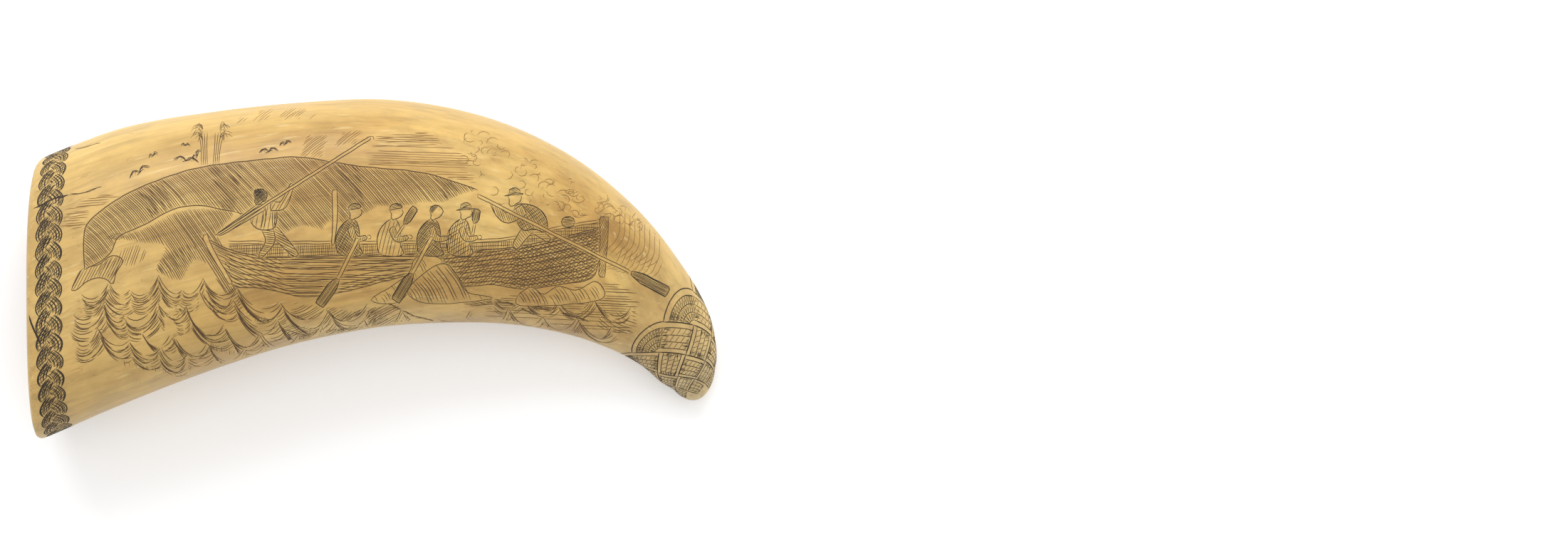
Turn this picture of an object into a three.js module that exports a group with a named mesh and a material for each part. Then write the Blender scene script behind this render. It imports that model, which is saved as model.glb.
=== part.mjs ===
// A scrimshaw sperm whale tooth: one solid of ivory, lying on its side. Millimetres, +Z up.
// The tip points to +X, the convex back to +Y, and the root is sawn off at -X, where the pulp cavity opens.
// The origin is under the middle of the tooth's box, on the surface that the tooth lies on.

import * as THREE from 'three';

// ---- driving dimensions, in millimetres and degrees ----

// Cross-sections from beyond the root to the tip: the middle of the section in plan, half its width across the bend,
// the direction of that width in plan, and half its thickness.
const SECTIONS = [
  { x: -98, y: -13.5, halfWidth: 36.4, turn: 90, halfThickness: 21 },
  { x: -82, y: -6.2, halfWidth: 36.6, turn: 90, halfThickness: 23 },
  { x: -64, y: 0.8, halfWidth: 35.9, turn: 90, halfThickness: 24.1 },
  { x: -43, y: 6.7, halfWidth: 33.7, turn: 90, halfThickness: 24.3 },
  { x: -20, y: 11.6, halfWidth: 31.5, turn: 88, halfThickness: 24 },
  { x: 3, y: 14.1, halfWidth: 29.8, turn: 86, halfThickness: 22.8 },
  { x: 24, y: 12.7, halfWidth: 27.4, turn: 80, halfThickness: 20.8 },
  { x: 43, y: 7.8, halfWidth: 23.7, turn: 72, halfThickness: 18 },
  { x: 59.7, y: -0.4, halfWidth: 19.1, turn: 62, halfThickness: 14.8 },
  { x: 72.4, y: -10.2, halfWidth: 14.5, turn: 52, halfThickness: 11.6 },
  { x: 79.8, y: -18.5, halfWidth: 11.4, turn: 38, halfThickness: 9.2 },
  { x: 83.6, y: -25.5, halfWidth: 8.7, turn: 31, halfThickness: 7.4 },
  { x: 85.4, y: -30.2, halfWidth: 5.7, turn: 22, halfThickness: 5.3 },
];
const TIP = { x: 86.6, y: -34.7 };  // the end of the rounded tip
const TIP_START = 42;            // how far round the tip's rounding has come at the last section, in degrees
const ROOT_SQUARENESS = 2.5;     // superellipse power of the sections at the root, whose sides are flatter
const TIP_SQUARENESS = 2;        // and at the tip, where they are round
const BACK_FULLNESS = 0.06;      // how much thicker a section is towards the convex back than at its middle

const SAW_X = -85.7;             // where the plane of the saw cut meets the surface that the tooth lies on
const SAW_TILT = 4;              // the cut leans out towards the upper side
const RIM_ROUNDING = 2.2;        // worn outer edge of the sawn face

// The underside touches the surface at small worn spots, and clears it between them.
const SPOT_FIRST = 0.12;         // place of the first spot, as a share of the way along the sections
const SPOT_PITCH = 0.33;         // share between one spot and the next
const SPOT_DEPTH = 0.4;          // how much is worn off the middle of a spot
const SPOT_CLEARANCE = 0.5;      // gap under the tooth midway between two spots

// The pulp cavity is an oval cone that follows the tooth's bend.
const CAVITY_DEPTH = 60;
const WALL_ACROSS = 8.5;         // wall at the mouth, across the bend
const WALL_THROUGH = 7;          // wall at the mouth, through the thickness
const CAVITY_TAPER = 0.85;       // power of the taper: 1 is a straight cone, less is a fuller one
const MOUTH_ROUNDING = 1.2;      // worn inner edge of the sawn face

const AROUND = 48;               // facets round a section
const BODY_RINGS = 46;
const TIP_RINGS = 7;
const CAVITY_RINGS = 14;
const EDGE_STEPS = 3;            // facets across a rounded edge
const SMALL_STEP = 0.0001;       // closeness, as a share of the sections, when a place along them is searched for

// ---- the form of the tooth ----

const { degToRad, lerp, clamp } = THREE.MathUtils;
const SAW_SLOPE = Math.tan(degToRad(SAW_TILT));

/** Value of one field of SECTIONS at share s (0 the first, 1 the last), by a Catmull-Rom spline. */
function sectionValue(field, s) {
  const last = SECTIONS.length - 1;
  const place = clamp(s, 0, 1) * last;
  const i = Math.min(Math.floor(place), last - 1);
  const u = place - i;
  const at = (k) => {
    if (k < 0) return 2 * SECTIONS[0][field] - SECTIONS[1][field];
    if (k > last) return TIP[field] ?? 2 * SECTIONS[last][field] - SECTIONS[last - 1][field];
    return SECTIONS[k][field];
  };
  const [a, b, c, d] = [at(i - 1), at(i), at(i + 1), at(i + 2)];
  const quadratic = 2 * a - 5 * b + 4 * c - d;
  const cubic = 3 * b - a - 3 * c + d;
  return (2 * b + (c - a) * u + quadratic * u ** 2 + cubic * u ** 3) / 2;
}

/** Lowest height of the underside at share s: below 0 in the worn spots, where the solid is cut off flat. */
function undersideHeight(s) {
  const wave = Math.cos((2 * Math.PI * (s - SPOT_FIRST)) / SPOT_PITCH);
  return lerp(SPOT_CLEARANCE, -SPOT_DEPTH, (1 + wave) / 2);
}

/** The cross-section at share s. */
function section(s) {
  const halfThickness = sectionValue('halfThickness', s);
  return {
    x: sectionValue('x', s),
    y: sectionValue('y', s),
    z: undersideHeight(s) + halfThickness,
    turn: degToRad(sectionValue('turn', s)),
    halfWidth: sectionValue('halfWidth', s),
    halfThickness,
    squareness: lerp(ROOT_SQUARENESS, TIP_SQUARENESS, s),
  };
}

/** Point of a section's outline, drawn in by `inset`, at angle a: 0 is the convex back, a quarter turn is up. */
function outlinePoint({ x, y, z, turn, halfWidth, halfThickness, squareness }, a, inset = 0) {
  const cos = Math.cos(a);
  const sin = Math.sin(a);
  const norm = (Math.abs(cos) ** squareness + Math.abs(sin) ** squareness) ** (1 / squareness);
  const across = cos / norm;
  const reach = (halfWidth - inset) * across;
  const rise = (halfThickness - inset) * (sin / norm) * (1 + BACK_FULLNESS * across);
  return new THREE.Vector3(x + Math.cos(turn) * reach, y + Math.sin(turn) * reach, z + rise);
}

/** How far a point lies behind the plane of the saw cut, along X. */
function behindCut(point) {
  return point.x - (SAW_X - point.z * SAW_SLOPE);
}

/** Share at which the tooth's side at angle a is this far behind the saw cut, found by halving. */
function shareBehind(a, distance) {
  let [low, high] = [0, 0.5];
  while (high - low > SMALL_STEP) {
    const middle = (low + high) / 2;
    if (behindCut(outlinePoint(section(middle), a)) < distance) low = middle;
    else high = middle;
  }
  return low;
}

/** How far a rounded edge of this radius is drawn in, at a distance behind the sawn face. */
function roundingInset(radius, behind) {
  const left = clamp(1 - behind / radius, 0, 1);
  return radius * (1 - Math.sqrt(1 - left ** 2));
}

/** A ring of points, one for each facet round the tooth. */
function ring(pointAt) {
  return Array.from({ length: AROUND }, (_, j) => pointAt((2 * Math.PI * j) / AROUND));
}

/** Places a point on a plane parallel to the sawn face. */
function setBehindCut(point, behind) {
  point.x = SAW_X - point.z * SAW_SLOPE + behind;
  return point;
}

/** Keeps a point of the outside above the surface that the tooth lies on. */
function wornFlat(point) {
  point.z = Math.max(point.z, 0);
  return point;
}

/** The outside, from the sawn face's outer edge to the last ring of the tip. */
function outsideRings() {
  const rings = [];
  for (let i = 0; i <= EDGE_STEPS; i++) {
    const behind = (RIM_ROUNDING * i) / EDGE_STEPS;
    const inset = roundingInset(RIM_ROUNDING, behind);
    const edgePoint = (a) => outlinePoint(section(shareBehind(a, behind)), a, inset);
    rings.push(ring((a) => wornFlat(setBehindCut(edgePoint(a), behind))));
  }
  for (let i = 1; i <= BODY_RINGS; i++) {
    const along = i / BODY_RINGS;
    rings.push(ring((a) => wornFlat(outlinePoint(section(lerp(shareBehind(a, RIM_ROUNDING), 1, along)), a))));
  }
  const last = section(1);
  const start = degToRad(TIP_START);
  for (let i = 1; i < TIP_RINGS; i++) {
    const turn = lerp(start, Math.PI / 2, i / TIP_RINGS);
    const onward = (Math.sin(turn) - Math.sin(start)) / (1 - Math.sin(start));
    const open = Math.cos(turn) / Math.cos(start);
    const closing = {
      ...last,
      x: lerp(last.x, TIP.x, onward),
      y: lerp(last.y, TIP.y, onward),
      halfWidth: last.halfWidth * open,
      halfThickness: last.halfThickness * open,
    };
    rings.push(ring((a) => wornFlat(outlinePoint(closing, a))));
  }
  return rings;
}

/** Share at which the middle of the section lies this far behind the middle of the sawn face. */
function depthShare(depth) {
  let s = 0;
  const middle = () => new THREE.Vector3(sectionValue('x', s), 0, section(s).z);
  while (behindCut(middle()) < depth) s += SMALL_STEP;
  return s;
}

/** The pulp cavity, from its last ring before the inner end out to the sawn face. */
function cavityRings() {
  const mouth = depthShare(0);
  const end = depthShare(CAVITY_DEPTH);
  const rings = [];
  const cavitySection = (along) => {
    const sec = section(lerp(mouth, end, along));
    const open = (1 - along) ** CAVITY_TAPER;
    return {
      ...sec,
      halfWidth: (sec.halfWidth - WALL_ACROSS) * open,
      halfThickness: (sec.halfThickness - WALL_THROUGH) * open,
    };
  };
  for (let i = CAVITY_RINGS - 1; i >= 1; i--) {
    const along = i / CAVITY_RINGS;
    rings.push(ring((a) => outlinePoint(cavitySection(along), a)));
  }
  for (let i = EDGE_STEPS; i >= 0; i--) {
    const behind = (MOUTH_ROUNDING * i) / EDGE_STEPS;
    const flare = -roundingInset(MOUTH_ROUNDING, behind);
    rings.push(ring((a) => setBehindCut(outlinePoint(cavitySection(0), a, flare), behind)));
  }
  return { rings, end: section(end) };
}

/** One closed surface: the cavity from its inner end, the sawn face, the outside and the tip. */
function toothGeometry() {
  const cavity = cavityRings();
  const rings = [...cavity.rings, ...outsideRings()];
  const innerEnd = new THREE.Vector3(cavity.end.x, cavity.end.y, cavity.end.z);
  const tip = new THREE.Vector3(TIP.x, TIP.y, section(1).z);

  const points = [innerEnd, ...rings.flat(), tip];
  const at = (k, j) => 1 + k * AROUND + (j % AROUND);
  const faces = [];
  for (let j = 0; j < AROUND; j++) {
    faces.push(0, at(0, j + 1), at(0, j));
    for (let k = 0; k < rings.length - 1; k++) {
      faces.push(at(k, j), at(k, j + 1), at(k + 1, j));
      faces.push(at(k, j + 1), at(k + 1, j + 1), at(k + 1, j));
    }
    faces.push(at(rings.length - 1, j), at(rings.length - 1, j + 1), points.length - 1);
  }
  const geometry = new THREE.BufferGeometry().setFromPoints(points);
  geometry.setIndex(faces);
  geometry.computeVertexNormals();
  return geometry;
}

// ---- the object ----

const ivory = new THREE.MeshStandardMaterial({ color: 0xd9b36c, roughness: 0.42, metalness: 0 });
const tooth = new THREE.Mesh(toothGeometry(), ivory);
tooth.name = 'tooth';

// The tooth is drawn about an arbitrary point in plan, and is moved so that the middle of its box is the origin.
tooth.geometry.computeBoundingBox();
const middle = tooth.geometry.boundingBox.getCenter(new THREE.Vector3());
tooth.position.set(-middle.x, -middle.y, 0);

const object = new THREE.Group();
object.add(tooth);

export default object;
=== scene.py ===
"""A scrimshaw sperm whale tooth, lying on its side on a white table and seen from above.

The tooth is a fine skin over the CAD solid, made from the same cross-sections. Its engraving is made of thin
closed strokes of ink that are sunk into the skin: a whale hunt on the upper face, a ship on the lower face, a
plaited border round the root and a woven knot over the tip. Lengths are in millimetres until a mesh is made.
"""

import math
import random

import bpy
import numpy as np
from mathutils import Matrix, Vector, noise
from mathutils.bvhtree import BVHTree


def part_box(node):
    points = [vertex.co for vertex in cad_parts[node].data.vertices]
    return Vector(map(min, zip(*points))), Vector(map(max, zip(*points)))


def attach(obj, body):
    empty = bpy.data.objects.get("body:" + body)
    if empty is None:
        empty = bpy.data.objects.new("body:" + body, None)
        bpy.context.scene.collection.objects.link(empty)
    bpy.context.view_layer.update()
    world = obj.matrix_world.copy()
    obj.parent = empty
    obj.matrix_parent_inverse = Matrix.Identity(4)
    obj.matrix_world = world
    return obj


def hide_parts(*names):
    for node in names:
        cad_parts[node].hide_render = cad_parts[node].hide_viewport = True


MM = 0.001
TURN = 2 * math.pi

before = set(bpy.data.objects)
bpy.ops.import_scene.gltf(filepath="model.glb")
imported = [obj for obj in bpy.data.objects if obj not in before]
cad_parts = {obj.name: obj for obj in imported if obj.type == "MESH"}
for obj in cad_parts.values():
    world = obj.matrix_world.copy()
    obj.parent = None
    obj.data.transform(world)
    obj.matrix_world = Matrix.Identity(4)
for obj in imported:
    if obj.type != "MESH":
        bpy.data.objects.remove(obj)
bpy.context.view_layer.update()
cad_low, cad_high = (np.array(corner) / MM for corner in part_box("tooth"))


# ---- the form of the tooth ----

# Cross-sections from beyond the root to the tip: the middle in plan, half the width, its direction in
# degrees, and half the thickness. These and the values below are the CAD solid's own.
FIELDS = ("x", "y", "half_width", "turn", "half_thickness")
SECTIONS = np.array(
    [
        (-98, -13.5, 36.4, 90, 21),
        (-82, -6.2, 36.6, 90, 23),
        (-64, 0.8, 35.9, 90, 24.1),
        (-43, 6.7, 33.7, 90, 24.3),
        (-20, 11.6, 31.5, 88, 24),
        (3, 14.1, 29.8, 86, 22.8),
        (24, 12.7, 27.4, 80, 20.8),
        (43, 7.8, 23.7, 72, 18),
        (59.7, -0.4, 19.1, 62, 14.8),
        (72.4, -10.2, 14.5, 52, 11.6),
        (79.8, -18.5, 11.4, 38, 9.2),
        (83.6, -25.5, 8.7, 31, 7.4),
        (85.4, -30.2, 5.7, 22, 5.3),
    ]
)
TIP = (86.6, -34.7)
TIP_START = 42
ROOT_SQUARENESS = 2.5
TIP_SQUARENESS = 2
BACK_FULLNESS = 0.06
SAW_X = -85.7
SAW_SLOPE = math.tan(math.radians(4))
RIM_ROUNDING = 2.2
SPOT_FIRST = 0.12
SPOT_PITCH = 0.33
SPOT_DEPTH = 0.4
SPOT_CLEARANCE = 0.5
CAVITY_DEPTH = 60
WALL_ACROSS = 8.5
WALL_THROUGH = 7
CAVITY_TAPER = 0.85
MOUTH_ROUNDING = 1.2

AROUND = 224  # facets round the skin
BODY_RINGS = 300
TIP_RINGS = 22
CAVITY_RINGS = 40
EDGE_STEPS = 5


def section_value(field, s):
    """Value of a field of SECTIONS at shares s (0 the first section, 1 the last), by a Catmull-Rom spline."""
    values = SECTIONS[:, FIELDS.index(field)]
    before = 2 * values[0] - values[1]
    after = {"x": TIP[0], "y": TIP[1]}.get(field, 2 * values[-1] - values[-2])
    values = np.concatenate(([before], values, [after]))
    last = len(SECTIONS) - 1
    place = np.clip(s, 0, 1) * last
    i = np.minimum(np.floor(place), last - 1).astype(int)
    u = place - i
    a, b, c, d = values[i], values[i + 1], values[i + 2], values[i + 3]
    quadratic = 2 * a - 5 * b + 4 * c - d
    cubic = 3 * b - a - 3 * c + d
    return (2 * b + (c - a) * u + quadratic * u**2 + cubic * u**3) / 2


def underside_height(s):
    wave = np.cos(TURN * (s - SPOT_FIRST) / SPOT_PITCH)
    return SPOT_CLEARANCE - (SPOT_CLEARANCE + SPOT_DEPTH) * (1 + wave) / 2


def section(s):
    """The cross-sections at shares s, as a dictionary of arrays."""
    found = {field: section_value(field, s) for field in FIELDS}
    found["turn"] = np.radians(found["turn"])
    found["z"] = underside_height(s) + found["half_thickness"]
    found["squareness"] = ROOT_SQUARENESS + (TIP_SQUARENESS - ROOT_SQUARENESS) * s
    return found


def outline_point(sec, a, inset=0.0):
    """Points of sections' outlines, drawn in by inset, at angles a: 0 is the back, a quarter turn is up."""
    cos, sin, power = np.cos(a), np.sin(a), sec["squareness"]
    norm = (np.abs(cos) ** power + np.abs(sin) ** power) ** (1 / power)
    across = cos / norm
    reach = (sec["half_width"] - inset) * across
    rise = (sec["half_thickness"] - inset) * (sin / norm) * (1 + BACK_FULLNESS * across)
    x = sec["x"] + np.cos(sec["turn"]) * reach
    y = sec["y"] + np.sin(sec["turn"]) * reach
    return np.stack(np.broadcast_arrays(x, y, sec["z"] + rise), axis=-1)


def behind_cut(points):
    """How far points lie behind the plane of the saw cut, along X."""
    return points[..., 0] - (SAW_X - points[..., 2] * SAW_SLOPE)


def share_behind(a, distance=0.0):
    """Shares at which the sides at angles a are this far behind the saw cut, by halving."""
    low, high = np.zeros_like(a), np.full_like(a, 0.5)
    for _ in range(26):
        middle = (low + high) / 2
        short = behind_cut(outline_point(section(middle), a)) < distance
        low, high = np.where(short, middle, low), np.where(short, high, middle)
    return (low + high) / 2


def rounding_inset(radius, behind):
    left = min(max(1 - behind / radius, 0), 1)
    return radius * (1 - math.sqrt(1 - left**2))


def set_behind_cut(points, behind):
    points[..., 0] = SAW_X - points[..., 2] * SAW_SLOPE + behind
    return points


# ---- the skin of the tooth ----


def outside_rings(angles):
    """Rings of the outside from the sawn face's edge to the tip, and the straightened place of each point."""
    rings = []
    for behind in np.linspace(0, RIM_ROUNDING, EDGE_STEPS + 1):
        inset = rounding_inset(RIM_ROUNDING, behind)
        edge = outline_point(section(share_behind(angles, behind)), angles, inset)
        rings.append(set_behind_cut(edge, behind))
    starts = share_behind(angles, RIM_ROUNDING)
    for along in np.linspace(0, 1, BODY_RINGS + 1)[1:]:
        rings.append(outline_point(section(starts + (1 - starts) * along), angles))
    last = {name: np.array([value]) for name, value in section(1.0).items()}
    start = math.radians(TIP_START)
    for turn in np.linspace(start, TURN / 4, TIP_RINGS + 1)[1:-1]:
        onward = (math.sin(turn) - math.sin(start)) / (1 - math.sin(start))
        open_share = math.cos(turn) / math.cos(start)
        closing = dict(last)
        closing["x"] = last["x"] + (TIP[0] - last["x"]) * onward
        closing["y"] = last["y"] + (TIP[1] - last["y"]) * onward
        closing["half_width"] = last["half_width"] * open_share
        closing["half_thickness"] = last["half_thickness"] * open_share
        rings.append(outline_point(closing, angles))
    return rings


def depth_share(depth):
    """Share at which the middle of the section lies this far behind the middle of the sawn face."""
    shares = np.linspace(0, 1, 4001)
    sec = section(shares)
    middles = np.stack([sec["x"], sec["y"], sec["z"]], axis=-1)
    return shares[np.argmax(behind_cut(middles) >= depth)]


def cavity_rings(angles):
    """Rings of the pulp cavity from its inner end out to the sawn face."""
    mouth, end = depth_share(0), depth_share(CAVITY_DEPTH)

    def cavity_section(along):
        sec = section(np.array([mouth + (end - mouth) * along]))
        open_share = (1 - along) ** CAVITY_TAPER
        sec["half_width"] = (sec["half_width"] - WALL_ACROSS) * open_share
        sec["half_thickness"] = (sec["half_thickness"] - WALL_THROUGH) * open_share
        return sec

    rings = []
    for along in np.linspace(1, 0, CAVITY_RINGS + 1)[1:-1]:
        rings.append(outline_point(cavity_section(along), angles))
    for behind in np.linspace(MOUTH_ROUNDING, 0, EDGE_STEPS + 1):
        flare = -rounding_inset(MOUTH_ROUNDING, behind)
        rings.append(set_behind_cut(outline_point(cavity_section(0), angles, flare), behind))
    end_section = section(np.array([end]))
    return rings, np.array([end_section[name][0] for name in ("x", "y", "z")])


def grid_faces(ring_count, around):
    """Triangles and quads of one closed surface: a pole, the rings, and a pole."""
    first = 1 + np.arange(ring_count - 1)[:, None] * around
    j = np.arange(around)[None, :]
    k = (j + 1) % around
    quads = np.stack([first + j, first + k, first + around + k, first + around + j], axis=-1).reshape(-1, 4)
    last = 1 + (ring_count - 1) * around
    start_fan = [(0, 1 + (i + 1) % around, 1 + i) for i in range(around)]
    end_fan = [(last + i, last + (i + 1) % around, last + around) for i in range(around)]
    return start_fan + quads.tolist() + end_fan


def unbent(points):
    """Points in the straightened tooth: the way along its middle line, across the bend, and up."""
    shares = np.linspace(0, 1, 800)
    line = np.stack([section_value("x", shares), section_value("y", shares)], axis=-1)
    steps = np.linalg.norm(np.diff(line, axis=0), axis=1)
    lengths = np.concatenate(([0], np.cumsum(steps)))
    nearest = np.empty(len(points), int)
    for start in range(0, len(points), 4000):
        gap = points[start : start + 4000, None, :2] - line[None]
        nearest[start : start + 4000] = np.argmin((gap**2).sum(-1), axis=1)
    tangent = np.gradient(line, axis=0)
    tangent /= np.linalg.norm(tangent, axis=1)[:, None]
    gap = points[:, :2] - line[nearest]
    ahead = (gap * tangent[nearest]).sum(-1)
    across = gap[:, 1] * tangent[nearest, 0] - gap[:, 0] * tangent[nearest, 1]
    return np.stack([lengths[nearest] + ahead, across, points[:, 2]], axis=-1)


def relief(place, seed):
    """Height of the hand-smoothed surface: soft dents, lengthwise growth ridges and a fine unevenness."""
    dents = noise.noise(Vector((place[0] / 26 + seed, place[1] / 13, place[2] / 13)))
    ridges = noise.noise(Vector((place[0] / 70, place[1] / 2.6 + seed, place[2] / 2.6)))
    waves = noise.noise(Vector((place[0] / 5 + seed, place[1] / 5, place[2] / 5)))
    return 0.16 * dents + 0.035 * ridges + 0.02 * waves


def vertex_normals(points, ring_count, around):
    """Outward normals of the rings of the outside, from their neighbours in the grid."""
    grid = points.reshape(ring_count, around, 3)
    along = np.gradient(grid, axis=0)
    round_it = np.roll(grid, -1, axis=1) - np.roll(grid, 1, axis=1)
    normals = np.cross(round_it, along)
    return (normals / np.linalg.norm(normals, axis=-1)[..., None]).reshape(-1, 3)


def make_skin():
    angles = np.arange(AROUND) * TURN / AROUND
    inner, inner_end = cavity_rings(angles)
    outer = outside_rings(angles)
    outside = np.concatenate(outer)
    straight = unbent(outside)
    normals = vertex_normals(outside, len(outer), AROUND)
    heights = np.array([relief(place, 3.7) for place in straight])
    fade = np.clip(behind_cut(outside) / 6, 0, 1)
    outside = outside + normals * (heights * fade)[:, None]
    outside[:, 2] = np.maximum(outside[:, 2], 0)
    tip = np.array([[*TIP, section(np.array([1.0]))["z"][0]]])
    points = np.concatenate([inner_end[None], np.concatenate(inner), outside, tip])
    straight = np.concatenate([np.zeros((1 + len(inner) * AROUND, 3)), straight, unbent(tip)])
    straight[: 1 + len(inner) * AROUND] = unbent(points[: 1 + len(inner) * AROUND])

    # The form is moved in plan so that its box lies as the CAD solid's does.
    shift = (cad_low + cad_high - points.min(0) - points.max(0)) / 2
    shift[2] = 0
    points = points + shift
    faces = grid_faces(len(inner) + len(outer), AROUND)

    mesh = bpy.data.meshes.new("tooth_skin")
    mesh.from_pydata((points * MM).tolist(), [], faces)
    cavity_faces = AROUND * len(inner)
    kinds = np.zeros(len(faces), np.int32)
    kinds[:cavity_faces] = 2
    kinds[cavity_faces : cavity_faces + AROUND] = 1
    mesh.polygons.foreach_set("material_index", kinds)
    mesh.shade_smooth()
    # For the materials: the straightened place in metres, and where a point is as shares: from root to tip on
    # the outside (below 0 in the cavity), from concave edge to back, and from the mouth to the outer rim.
    ring_share = np.concatenate([np.linspace(-1, -0.001, len(inner)), np.linspace(0, 1, len(outer))])
    shares = np.zeros((len(points), 3))
    shares[1:-1, 0] = np.repeat(ring_share, AROUND)
    shares[1:-1, 1] = np.tile(np.cos(angles), len(ring_share))
    shares[1:-1, 2] = np.repeat(ring_share >= 0, AROUND)
    shares[0, 0], shares[-1] = -1, (1, 0, 1)
    for name, values in (("straight", straight * MM), ("share", shares)):
        attribute = mesh.attributes.new(name, "FLOAT_VECTOR", "POINT")
        attribute.data.foreach_set("vector", values.astype(np.float32).ravel())
    skin = bpy.data.objects.new("tooth_skin", mesh)
    bpy.context.scene.collection.objects.link(skin)
    outside = points[1 + len(inner) * AROUND : -1].reshape(len(outer), AROUND, 3)
    return skin, points, faces, outside, shift


skin, skin_points, skin_faces, outside_grid, PLAN_SHIFT = make_skin()
surface = BVHTree.FromPolygons(skin_points.tolist(), skin_faces)


# ---- materials ----


class Shader:
    """A small helper for node materials: each call adds one node and returns its output."""

    def __init__(self, name):
        self.material = bpy.data.materials.new(name)
        self.material.use_nodes = True
        self.tree = self.material.node_tree
        self.main = self.tree.nodes["Principled BSDF"]

    def add(self, kind, output, settings=None, **inputs):
        node = self.tree.nodes.new("ShaderNode" + kind)
        for key, value in (settings or {}).items():
            setattr(node, key, value)
        for key, value in inputs.items():
            numbered = key[0] == "i" and key[1:].isdigit()
            self.link(node.inputs[int(key[1:]) if numbered else key], value)
        return node.outputs[output]

    def link(self, socket, value):
        if isinstance(value, bpy.types.NodeSocket):
            self.tree.links.new(value, socket)
        else:
            socket.default_value = value

    def set(self, name, value):
        self.link(self.main.inputs[name], value)

    def place(self):
        return self.add("Attribute", "Vector", {"attribute_name": "straight"})

    def stretched(self, place, scale):
        return self.add("VectorMath", "Vector", {"operation": "MULTIPLY"}, i0=place, i1=scale)

    def noise(self, place, scale, detail=4.0, roughness=0.55):
        return self.add("TexNoise", "Fac", Vector=place, Scale=scale, Detail=detail, Roughness=roughness)

    def ramp(self, value, *stops):
        node = self.tree.nodes.new("ShaderNodeValToRGB")
        self.link(node.inputs["Fac"], value)
        elements = node.color_ramp.elements
        while len(elements) < len(stops):
            elements.new(0.5)
        for element, (position, color) in zip(elements, stops):
            element.position = position
            element.color = (*color, 1) if len(color) == 3 else (color[0],) * 3 + (1,)
        return node.outputs["Color"]

    def mix(self, share, a, b, blend="MIX"):
        node = self.tree.nodes.new("ShaderNodeMix")
        node.data_type = "RGBA"
        node.blend_type = blend
        self.link(node.inputs["Factor"], share)
        self.link(node.inputs[6], a if isinstance(a, bpy.types.NodeSocket) else (*a, 1))
        self.link(node.inputs[7], b if isinstance(b, bpy.types.NodeSocket) else (*b, 1))
        return node.outputs[2]

    def math(self, operation, a, b=0.0, clamp=False):
        return self.add("Math", "Value", {"operation": operation, "use_clamp": clamp}, i0=a, i1=b)

    def bump(self, height, distance, strength=1.0):
        return self.add("Bump", "Normal", Height=height, Distance=distance, Strength=strength)


def srgb(red, green, blue):
    """A colour given as the eye reads it, 0 to 255, as the shader's linear values."""
    values = [c / 255 for c in (red, green, blue)]
    return tuple(((c + 0.055) / 1.055) ** 2.4 if c > 10 / 255 else c / 12.92 for c in values)


LIGHT_LEVEL = 1.22  # about the light on a face that looks up, which turns a seen colour into a base colour


def seen(red, green, blue):
    """The base colour of what is to look like this under the scene's light."""
    return tuple(value / LIGHT_LEVEL for value in srgb(red, green, blue))


HONEY_LIGHT = seen(232, 194, 114)
HONEY = seen(210, 168, 92)
HONEY_DEEP = seen(184, 138, 70)
HONEY_BROWN = seen(146, 102, 52)
FIBRE_PALE = seen(238, 210, 146)
ROOT_PALE = seen(218, 184, 114)
TIP_PALE = seen(214, 190, 140)
# painted shade colour for the concave edge, the side turned away from the back light
CONCAVE_SHADE_GREY = seen(150, 132, 96)


def share_axes(shader):
    share = shader.add("Attribute", "Vector", {"attribute_name": "share"})
    node = shader.tree.nodes.new("ShaderNodeSeparateXYZ")
    shader.link(node.inputs[0], share)
    return node.outputs["X"], node.outputs["Y"], node.outputs["Z"]


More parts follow.
